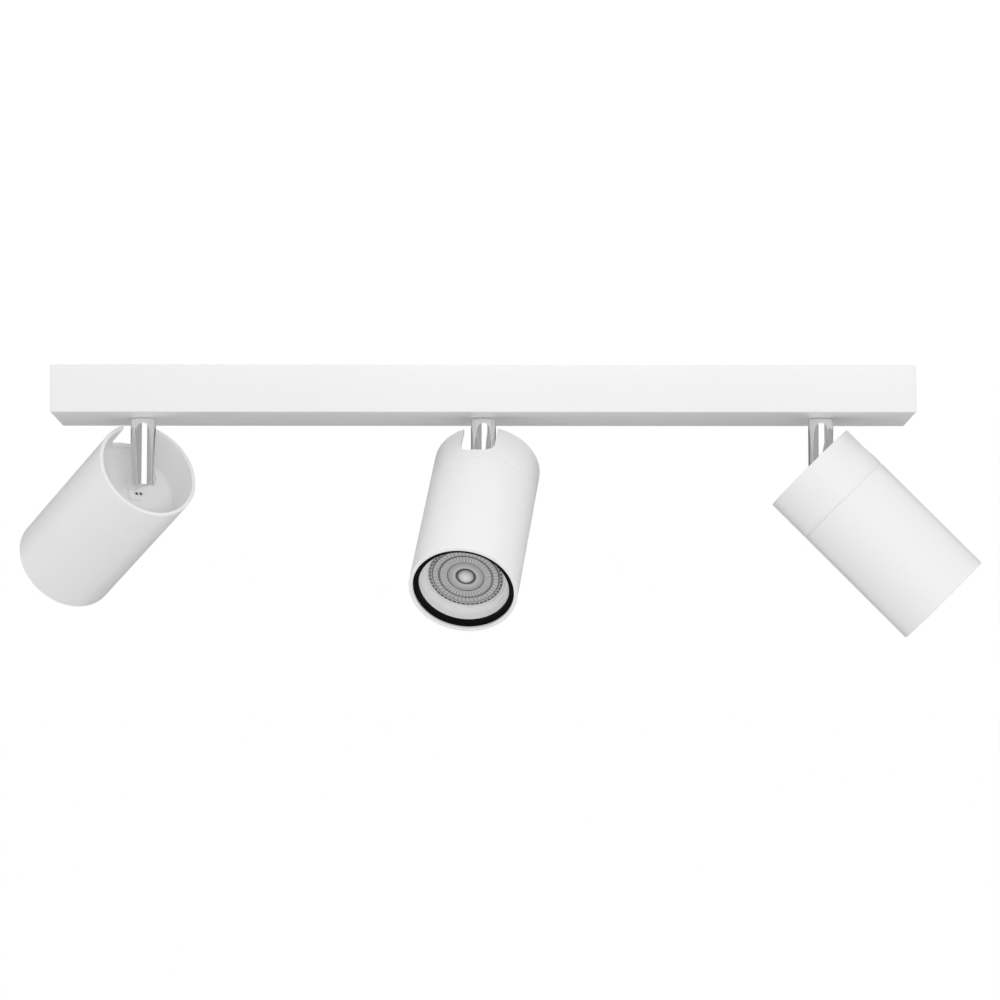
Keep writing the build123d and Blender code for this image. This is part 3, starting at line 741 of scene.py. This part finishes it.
def set_out(template, *copy_values):
    """Puts a template's copies on the left, middle and right body, and takes the template away."""
    for side in sides:
        put_copy(side, template, *copy_values)
    bpy.data.objects.remove(template)


def chrome():
    """Bright plate: almost a mirror, with the faintest turning marks and finger haze."""
    material = bpy.data.materials.new("bright_chrome_plate")
    material.use_nodes = True
    tree = material.node_tree
    surface = tree.nodes["Principled BSDF"]
    surface.inputs["Metallic"].default_value = 1.0
    surface.inputs["Base Color"].default_value = chrome_color
    place = tree.nodes.new("ShaderNodeTexCoord").outputs["Object"]
    haze = noise(tree, place, haze_scale, haze_detail)
    tree.links.new(ranged(tree, haze, *haze_roughness), surface.inputs["Roughness"])
    return material


bright_chrome = chrome()
stem_low, stem_high = own_box("stem_left", stem_place("left"))
stem = turned(
    "stem_template",
    [
        (wire_bore_radius, pivot_z),
        (wire_bore_radius, stem_high.z),
        (spigot_radius - stem_wall_edge, stem_high.z),
        (spigot_radius, stem_high.z - stem_wall_edge),
        (spigot_radius, column_top_z),
        (column_radius - stem_wall_edge, column_top_z),
        (column_radius, column_top_z - stem_wall_edge),
        (column_radius, stem_low.z + stem_wall_edge),
        (column_radius - stem_wall_edge, stem_low.z),
        (wire_bore_radius, stem_low.z),
        (wire_bore_radius, pivot_z),
    ],
    stem_segments,
)
slot_back = (-slot_end_radius, -slot_half_width, stem_low.z - MM)
slot_front = (0, -slot_half_width, pivot_z - MM)
bore_length = cutter_reach + pivot_bore_end
bore_middle = (0, pivot_bore_end - bore_length / 2, pivot_z)
recess_length = cutter_reach - pivot_recess_seat
recess_middle = (0, -(pivot_recess_seat + cutter_reach) / 2, pivot_z)
across = (math.radians(90), 0, 0)
cut(stem, box_cutter(slot_back, (cutter_reach, slot_half_width, pivot_z)))
cut(stem, box_cutter(slot_front, (cutter_reach, slot_half_width, pivot_z + slot_end_radius)))
cut(stem, rod(slot_end_radius, 2 * slot_half_width, (0, 0, pivot_z), across))
cut(stem, rod(pivot_bore_radius, bore_length, bore_middle, across, pivot_bore_segments))
cut(stem, rod(pivot_recess_radius, recess_length, recess_middle, across, pivot_recess_segments))
tidy_faces(stem)
set_out(stem, "chrome_stem", bright_chrome, "chrome_plate", "stem", "stem", stem_place)

# ------------------------------------------------------------------ stem washers and nuts
# Inside the bar, a zinc-plated washer with a stop tab is keyed to each spigot, and a
# hexagon nut holds the stem up.
washer_edge = 0.1 * MM

for side in sides:
    for node, name in (("stem_washer", "stop_washer"), ("stem_nut", "spigot_nut")):
        node_here, name_here = f"{node}_{side}", f"{name}_{side}"
        dress(node_here, name_here, zinc_plate, "zinc_steel", f"stem_{side}", washer_edge)

# ------------------------------------------------------------------ pivot screws
# Nickel-plated screws across the slotted ends of the stems. The heads tilt on them.
for side in sides:
    pin_name = f"tilt_screw_{side}"
    dress(f"pivot_screw_{side}", pin_name, nickel_plate, "screw_steel", f"stem_{side}", screw_edge)

# ------------------------------------------------------------------ swivel brackets
# Cast zinc tongues painted white. The eye turns in the stem's slot, and two countersunk
# socket screws hold the foot to the floor of the cup. Their sockets carry painted shade.
cast_edge = 0.25 * MM
foot_screw_edge = 0.03 * MM
head_axis_offset = 1.1 * MM
socket_painted_shade = (0.006, 0.006, 0.006, 1)


def head_place(side):
    """From a head's own frame, hanging from its pivot and facing +X, to its place at rest."""
    joint = joints[f"tilt_{side}"]
    lift = -math.radians(joint["range_deg"][0])
    turn = Matrix.Rotation(aim_of(side), 4, "Z") @ Matrix.Rotation(-lift, 4, "Y")
    beside = Matrix.Translation((0, head_axis_offset, 0))
    return Matrix.Translation(joint["pos_m"]) @ turn @ beside


def mark_points(piece, name, value_of):
    """Gives each point of a piece a value, which its material reads by that name."""
    marks = piece.data.attributes.new(name, "FLOAT", "POINT")
    for point, mark in zip(piece.data.vertices, marks.data):
        mark.value = value_of(point.co)


def read_mark(material, name, low_color, high_color):
    """Colours a material between two colours by the value that its points carry."""
    tree = material.node_tree
    skin = next(node for node in tree.nodes if node.type == "GROUP")
    mark = tree.nodes.new("ShaderNodeAttribute")
    mark.attribute_name = name
    color = color_mix(tree, mark.outputs["Fac"], low_color, high_color)
    tree.links.new(color, skin.inputs["Color"])


cast_white = coated(
    "white_paint_on_casting", paint_white,
    roughness=0.40, peel_scale=500.0, peel_height=0.4, tone_drift=0.04,
)
socket_plate = bare_metal(
    "nickel_plate_dark_socket", nickel_color,
    roughness=0.30, stretch=nickel_grain, streak_height=0.08,
)
# Painted shade inside the screw sockets, plain nickel on the faces outside them.
read_mark(socket_plate, "open_face", socket_painted_shade, nickel_color)
for side in sides:
    head_body, tongue_name = f"head_{side}", f"tilt_tongue_{side}"
    dress(f"swivel_bracket_{side}", tongue_name, cast_white, "bracket_white", head_body, cast_edge)
    feet_node = f"foot_screws_{side}"
    feet = from_cad(feet_node, foot_screw_edge)
    back = head_place(side).inverted()
    top = own_box(feet_node, head_place(side))[1].z - foot_screw_edge / 2
    mark_points(feet, "open_face", lambda point: float((back @ point).z > top))
    finish_piece(feet, f"foot_screw_pair_{side}", socket_plate, "screw_steel", head_body, feet_node)

# ------------------------------------------------------------------ rear cups
# Drawn aluminium cups, powder coated white inside and out, open at the back. A U-shaped
# notch lets the stem lie in the wall, and a spigot in front carries the front tube.
shell_segments = 256
shell_radius = 31.0 * MM
shell_wall = 2.2 * MM
rim_radius = 0.5 * MM
rim_steps = 5
cup_depth = 26.0 * MM
cup_floor_thickness = 1.6 * MM
cup_floor_radius = 2.0 * MM
cup_floor_steps = 6
cup_front_edge = 0.05 * MM
core_radius = 1.0 * MM
seam_gap = 0.3 * MM
spigot_wall = 2.0 * MM
spigot_reach = 5.0 * MM
seat_gap = 0.1 * MM
notch_width = 20.0 * MM
notch_depth = 21.4 * MM
notch_corner = 6.5 * MM
notch_corner_steps = 24
notch_overcut = 5.0 * MM


def arc(middle_radius, middle_height, radius, start, end, steps):
    """Points of an arc in (radius, height), its angles in degrees from outwards."""
    points = []
    for step in range(steps + 1):
        angle = math.radians(start + (end - start) * step / steps)
        out, up = radius * math.cos(angle), radius * math.sin(angle)
        points.append((middle_radius + out, middle_height + up))
    return points


def close_ring(piece, radius, height):
    """Fills the open ring of edges at a radius and height."""
    def on_ring(point):
        at_height = abs(point.z - height) < merge_distance
        return at_height and abs(point.xy.length - radius) < match_distance

    pick(piece, "EDGE", lambda a, b: on_ring(a) and on_ring(b))
    bpy.ops.mesh.edge_face_add()


cup_back = own_box("rear_cup_left", head_place("left"))[1].z
bore_radius = shell_radius - shell_wall
floor_back = cup_back - cup_depth
floor_front = floor_back - cup_floor_thickness
cup_front = floor_front + seam_gap / 2
joint_outer = bore_radius - seat_gap
joint_inner = joint_outer - spigot_wall
cup = turned(
    "cup_template",
    [
        (joint_inner, floor_front),
        (joint_inner, floor_front - spigot_reach),
        (joint_outer, floor_front - spigot_reach),
        (joint_outer, cup_front),
        (shell_radius - cup_front_edge, cup_front),
        (shell_radius, cup_front + cup_front_edge),
        *arc(shell_radius - rim_radius, cup_back - rim_radius, rim_radius, 0, 90, rim_steps),
        *arc(bore_radius + rim_radius, cup_back - rim_radius, rim_radius, 90, 180, rim_steps),
        *arc(
            bore_radius - cup_floor_radius, floor_back + cup_floor_radius, cup_floor_radius,
            0, -90, cup_floor_steps,
        ),
        (core_radius, floor_back),
    ],
    shell_segments,
)
close_ring(cup, core_radius, floor_back)
close_ring(cup, joint_inner, floor_front)
notch_floor = cup_back - notch_depth
notch = box_cutter(
    (0, -notch_width / 2, notch_floor),
    (shell_radius + notch_overcut, notch_width / 2, cup_back + notch_overcut),
)
pick(
    notch, "EDGE",
    lambda a, b: max(a.z, b.z) < notch_floor + MM and abs(a.y - b.y) < merge_distance,
)
bpy.ops.mesh.bevel(offset=notch_corner, segments=notch_corner_steps, affect="EDGES")
tidy_faces(cup)
cut(cup, notch)
tidy_faces(cup)
set_out(cup, "cup_shell", white_coat, "white_paint", "head", "rear_cup", head_place)

# ------------------------------------------------------------------ front tubes
# Extruded aluminium tube turned to length, its front rim rounded, powder coated white. It
# slides over the cup's spigot and leaves a fine seam.
tube_ease = 0.5 * MM
seam_line = 0.01 * MM
tube_front = own_box("front_tube_left", head_place("left"))[0].z
tube_back = cup_front - seam_line

tube = turned(
    "tube_template",
    [
        (bore_radius, tube_back),
        (shell_radius - tube_ease, tube_back),
        (shell_radius, tube_back - tube_ease),
        *arc(shell_radius - rim_radius, tube_front + rim_radius, rim_radius, 0, -90, rim_steps),
        *arc(bore_radius + rim_radius, tube_front + rim_radius, rim_radius, -90, -180, rim_steps),
        (bore_radius, tube_back),
    ],
    shell_segments,
)
set_out(tube, "front_shell", white_coat, "white_paint", "head", "front_tube", head_place)

# ------------------------------------------------------------------ lampholders
# Pressed steatite holders for two headed pins, screwed to the floor of the cup from the
# lamp's side. They stay behind the lamp.
steatite_color = (0.83, 0.80, 0.74, 1)
steatite_edge = 0.3 * MM

steatite = coated(
    "steatite", steatite_color,
    roughness=0.62, peel_scale=2200.0, peel_height=0.6, tone_drift=0.08,
)
for side in sides:
    head_body = f"head_{side}"
    holder_name, pair_name = f"pin_holder_{side}", f"holder_screw_pair_{side}"
    dress(f"lampholder_{side}", holder_name, steatite, "holder_ceramic", head_body, steatite_edge)
    dress(f"holder_screws_{side}", pair_name, nickel_plate, "screw_steel", head_body, screw_edge)

# ------------------------------------------------------------------ lamps
# Reflector lamp: a white moulded housing that flares from a straight base to a flat bezel,
# and two nickel-plated headed pins.
lamp_white_color = (0.84, 0.84, 0.85, 1)
lamp_segments = 160
base_radius = 11.5 * MM
base_share = 0.2
flare_steps = 16
flare_power = 0.9
flare_foot = 1.0 * MM
bezel_thickness = 7.0 * MM
bezel_step = 0.6 * MM
bezel_edge, bezel_edge_steps = 0.5 * MM, 4
bezel_rim_edge, bezel_rim_steps = 0.15 * MM, 3
bezel_gap = 0.05 * MM
lens_seat_radius = 22.65 * MM
pin_edge = 0.1 * MM

lamp_white = coated(
    "white_lamp_housing", lamp_white_color,
    roughness=0.30, peel_scale=900.0, peel_height=0.1, tone_drift=0.03,
)
lamp_low, lamp_high = own_box("lamp_body_left", head_place("left"))
lens_back = own_box("lamp_lens_left", head_place("left"))[1]
lamp_rim = lamp_high.x
base_end = lamp_high.z - base_share * (lamp_high.z - lamp_low.z)
bezel_back = lamp_low.z + bezel_thickness
flare_width = lamp_rim - bezel_step - base_radius
flare_length = bezel_back + flare_foot - base_end
flare = []
for step in range(flare_steps + 1):
    share = step / flare_steps
    swell = math.sin(share * math.pi / 2) ** flare_power
    flare.append((base_radius + flare_width * swell, base_end + flare_length * share))
lamp = turned(
    "lamp_template",
    [
        (core_radius, lamp_high.z),
        (base_radius - bezel_edge, lamp_high.z),
        (base_radius, lamp_high.z - bezel_edge),
        *flare,
        (lamp_rim, bezel_back),
        *arc(
            lamp_rim - bezel_rim_edge, lamp_low.z + bezel_rim_edge, bezel_rim_edge,
            0, -90, bezel_rim_steps,
        ),
        *arc(
            lens_seat_radius + bezel_edge, lamp_low.z + bezel_edge, bezel_edge,
            -90, -180, bezel_edge_steps,
        ),
        (lens_seat_radius, lens_back.z),
        (core_radius, lens_back.z),
    ],
    lamp_segments,
)
close_ring(lamp, core_radius, lamp_high.z)
close_ring(lamp, core_radius, lens_back.z)
tidy_faces(lamp)
for side in sides:
    put_copy(side, lamp, "lamp_housing", lamp_white, "lamp_white", "head", "lamp_body", head_place)
    pins_name = f"contact_pin_pair_{side}"
    dress(f"lamp_pins_{side}", pins_name, nickel_plate, "pin_metal", f"head_{side}", pin_edge)
bpy.data.objects.remove(lamp)

# ------------------------------------------------------------------ lenses
# Moulded optical plastic over a reflector: a domed middle in a groove, a smooth ring, two
# rings of small ribs, and a ring of dashes inside a plain edge. Its light and dark are painted:
# painted shade in the grooves, between the ribs, on the dashes and on the smooth ring, and painted
# highlights on the ribs, the gaps between the dashes, the shoulder and the dome's top.
lens_painted_dark_color = (0.03, 0.03, 0.03, 1)
lens_painted_pale_color = (0.80, 0.80, 0.79, 1)
lens_facets = 48
lens_rim = lens_back.x
lens_thickness = 2.3 * MM
lens_face = lens_back.z - lens_thickness
dome_radius = 4.8 * MM
dome_height = 1.6 * MM
dome_foot = 0.3 * MM
dome_top_radius = 0.25 * MM
dome_steps = 6
dome_groove_width = 1.0 * MM
dome_groove_depth = 0.8 * MM
dome_groove_taper = 0.1 * MM
shoulder_start, shoulder_end, shoulder_height = 0.2 * MM, 0.9 * MM, 0.1 * MM
ribbed_rings = ((10.3 * MM, 15.1 * MM), (15.5 * MM, 19.2 * MM))
dash_ring = (19.4 * MM, 21.5 * MM)
ring_groove_depth = 0.35 * MM
ring_groove_middle = 0.15 * MM
ring_groove_width = 0.25 * MM
facet_height = 0.35 * MM
facet_gap = 0.20 * MM
dash_gap = 0.42 * MM
flank_height = 0.7 * facet_height
lens_smooth_angle = math.radians(38)
lifted = 0.05 * MM
rib_margin, dash_margin, facet_margin = 0.2 * MM, 0.1 * MM, 0.3 * MM
# Painted tones of the lens, from 0 dark to 1 pale: painted shade and painted highlights, not the
# plastic's own colour.
groove_painted_shade, edge_tone = 0.02, 1.0
dash_painted_shade, between_dashes_painted_highlight = 0.05, 0.95
rib_painted_highlight, between_ribs_painted_shade = 0.64, 0.06
dome_foot_painted_shade, dome_top_painted_highlight = 0.45, 1.0
shoulder_painted_highlight, smooth_ring_painted_shade = 0.62, 0.36


def lens_painted_tone(point):
    """How pale a point of the lens is painted, from 0 for painted shade in a groove to 1 over the
    white housing, with painted highlights on the ribs, the shoulder and the dome's top.
    """
    radius, lift = point.xy.length, lens_face - point.z
    raised = lift > lifted
    if lift < -lifted:
        return groove_painted_shade
    if radius > dash_ring[1] - rib_margin:
        return edge_tone
    if radius > dash_ring[0] + dash_margin:
        return dash_painted_shade if raised else between_dashes_painted_highlight
    if any(inner + rib_margin < radius < outer - rib_margin for inner, outer in ribbed_rings):
        return rib_painted_highlight if raised else between_ribs_painted_shade
    if radius < dome_radius:
        return dome_foot_painted_shade + (dome_top_painted_highlight - dome_foot_painted_shade) * max(lift / dome_height, 0) ** 2
    return shoulder_painted_highlight if radius < groove_outside + MM else smooth_ring_painted_shade


def on_facets_of(*rings):
    """A test of whether a face lies flat in one of these rings."""
    def holds(middle, normal):
        if abs(middle.z - lens_face) > match_distance or normal.z > -level_enough:
            return False
        radius = middle.xy.length
        return any(inner + facet_margin < radius < outer - facet_margin for inner, outer in rings)

    return holds


groove_outside = dome_radius + dome_groove_width
lens_outline = [(lens_rim, lens_back.z), (lens_rim, lens_face)]
for inner, outer in (dash_ring, *reversed(ribbed_rings)):
    lens_outline += [
        (outer, lens_face),
        (outer - ring_groove_middle, lens_face + ring_groove_depth),
        (outer - ring_groove_width, lens_face),
        (inner + ring_groove_width, lens_face),
        (inner + ring_groove_middle, lens_face + ring_groove_depth),
        (inner, lens_face),
    ]
lens_outline += [
    (groove_outside + shoulder_end, lens_face - shoulder_height),
    (groove_outside + shoulder_start, lens_face),
    (groove_outside - dome_groove_taper, lens_face + dome_groove_depth),
    (dome_radius, lens_face + dome_groove_depth),
    (dome_radius - dome_foot, lens_face),
]
for step in range(1, dome_steps + 1):
    angle = math.radians(90 * step / dome_steps)
    radius = max(dome_radius * math.cos(angle) - dome_foot, dome_top_radius)
    lens_outline.append((radius, lens_face - dome_height * math.sin(angle)))
moulded_lens = coated(
    "moulded_lens", lens_painted_pale_color,
    roughness=0.16, peel_scale=1500.0, peel_height=0.1, tone_drift=0.10,
    Coat_Weight=0.6, Coat_Roughness=0.05,
)
# The lens's colour runs from painted shade to painted light by the relief mark of its points.
read_mark(moulded_lens, "relief", lens_painted_dark_color, lens_painted_pale_color)
lens = turned("lens_template", lens_outline, lens_facets)
close_ring(lens, dome_top_radius, lens_face - dome_height)
close_ring(lens, lens_rim, lens_back.z)
tidy_faces(lens)
pick(lens, "FACE", on_facets_of(*ribbed_rings))
bpy.ops.mesh.inset(thickness=facet_gap, depth=flank_height, use_individual=True)
bpy.ops.mesh.inset(thickness=2 * facet_gap, depth=facet_height - flank_height, use_individual=True)
pick(lens, "FACE", on_facets_of(dash_ring))
bpy.ops.mesh.inset(thickness=dash_gap, depth=flank_height, use_individual=True)
activate(lens)
bpy.ops.object.shade_smooth_by_angle(angle=lens_smooth_angle)
# Each point of the lens carries its painted shade or painted highlight.
mark_points(lens, "relief", lens_painted_tone)
set_out(lens, "lamp_face", moulded_lens, "lens_clear", "head", "lamp_lens", head_place)

# ------------------------------------------------------------------ lamp collars
# White moulded sleeves in the mouth of the tube. The lamp's bezel seats in the stepped back.
collar_white = (0.86, 0.86, 0.86, 1)
collar_inner_radius = 25.8 * MM
collar_seat_radius = lamp_rim + bezel_gap
collar_edge = 0.3 * MM

satin_white = coated(
    "satin_white_moulding", collar_white,
    roughness=0.35, peel_scale=900.0, peel_height=0.12, tone_drift=0.03,
)
collar_low, collar_high = own_box("lamp_collar_left", head_place("left"))
collar = turned(
    "collar_template",
    [
        (collar_seat_radius, collar_high.z),
        (joint_outer, collar_high.z),
        (joint_outer, collar_low.z),
        (collar_inner_radius + collar_edge, collar_low.z),
        (collar_inner_radius, collar_low.z + collar_edge),
        (collar_inner_radius, lamp_low.z),
        (collar_seat_radius, lamp_low.z),
        (collar_seat_radius, collar_high.z),
    ],
    shell_segments,
)
set_out(collar, "collar_sleeve", satin_white, "collar_white", "head", "lamp_collar", head_place)

# ------------------------------------------------------------------ glare rings
# Matt black conical rings just inside the front rims, which hold the collars in.
ring_black = (0.004, 0.004, 0.004, 1)
ring_lip = 0.4 * MM
ring_slope = 0.6 * MM
ring_grooves = 2
half_ring_groove = 0.15 * MM

matt_black = coated(
    "matt_black_moulding", ring_black,
    roughness=0.60, peel_scale=1200.0, peel_height=0.2, tone_drift=0.1,
    Specular_IOR_Level=0.06,
)
ring_low, ring_high = own_box("glare_ring_left", head_place("left"))
cone_outer = joint_outer - ring_lip
cone_width = cone_outer - collar_inner_radius
ring_outline = [
    (collar_inner_radius, ring_high.z),
    (joint_outer, ring_high.z),
    (joint_outer, ring_low.z),
    (cone_outer, ring_low.z),
]
for groove in range(1, ring_grooves + 1):
    share = groove / (ring_grooves + 1)
    middle, surface = cone_outer - cone_width * share, ring_low.z + ring_slope * share
    bottom = surface + 2 * half_ring_groove
    ring_outline += [
        (middle + half_ring_groove, surface),
        (middle + half_ring_groove, bottom),
        (middle - half_ring_groove, bottom),
        (middle - half_ring_groove, surface),
    ]
ring_outline += [(collar_inner_radius, ring_low.z + ring_slope), (collar_inner_radius, ring_high.z)]
ring = turned("ring_template", ring_outline, shell_segments)
set_out(ring, "glare_cone", matt_black, "ring_black", "head", "glare_ring", head_place)
